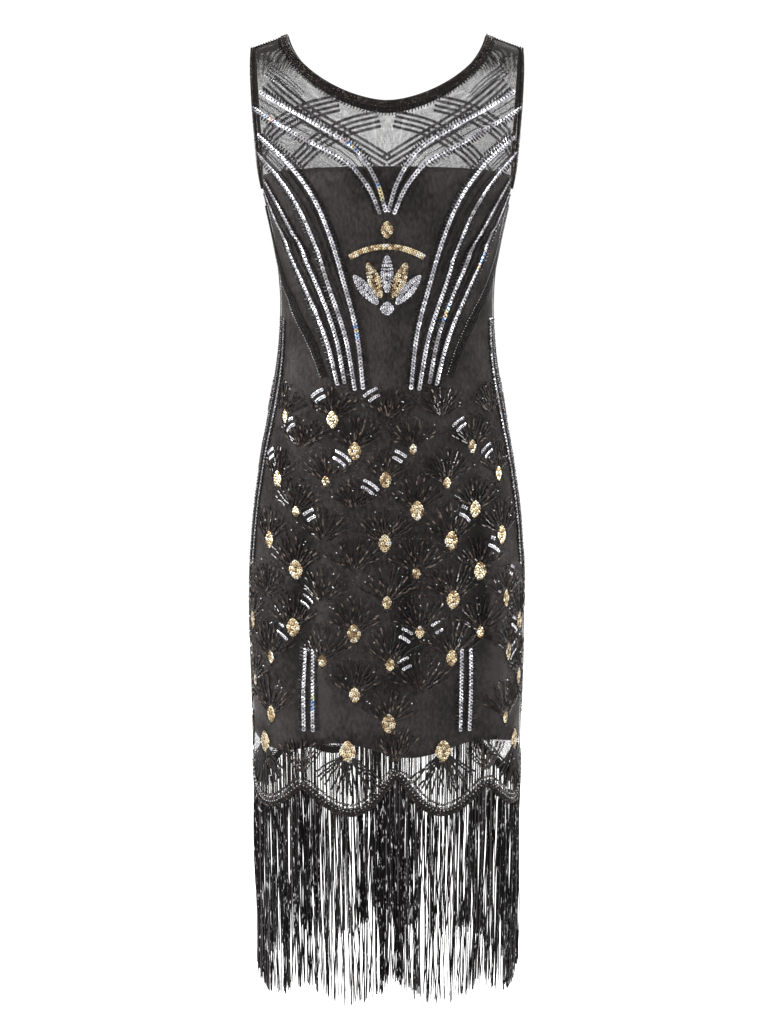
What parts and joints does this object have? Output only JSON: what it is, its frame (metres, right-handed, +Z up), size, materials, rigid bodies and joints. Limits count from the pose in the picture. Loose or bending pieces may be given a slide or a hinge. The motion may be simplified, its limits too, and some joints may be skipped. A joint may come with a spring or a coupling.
{
  "type": "sleeveless beaded flapper dress",
  "caption": "Black sleeveless flapper dress: sheer net shell over an opaque slip, scoop neck, beaded bands, scalloped hem with a long fringe.",
  "frame": {"origin": "midway between the tops of the two shoulder seams, where the wearer's shoulders hold the dress", "axes": "+Z up along the dress, -Y towards the front, +X towards the right as the front is looked at"},
  "size_m": [0.3476, 0.254, 1.2018],
  "materials": {
    "black_net": "sheer matt black mesh",
    "slip_cloth": "opaque smooth black jersey, soft sheen",
    "black_beads": "glossy brown-black seed and bugle beads",
    "fringe_strands": "black strands with small glints",
    "silver_sequins": "bright cupped silver sequins",
    "gold_sequins": "bright cupped pale gold sequins"
  },
  "bodies": {
    "root": {"net_front": "black_net", "net_back": "black_net", "slip_front": "slip_cloth", "slip_back": "slip_cloth", "neck_band": "black_beads", "armhole_band_left": "black_beads", "armhole_band_right": "black_beads", "fringe_front": "fringe_strands", "fringe_back": "fringe_strands"}
  },
  "joints": []
}
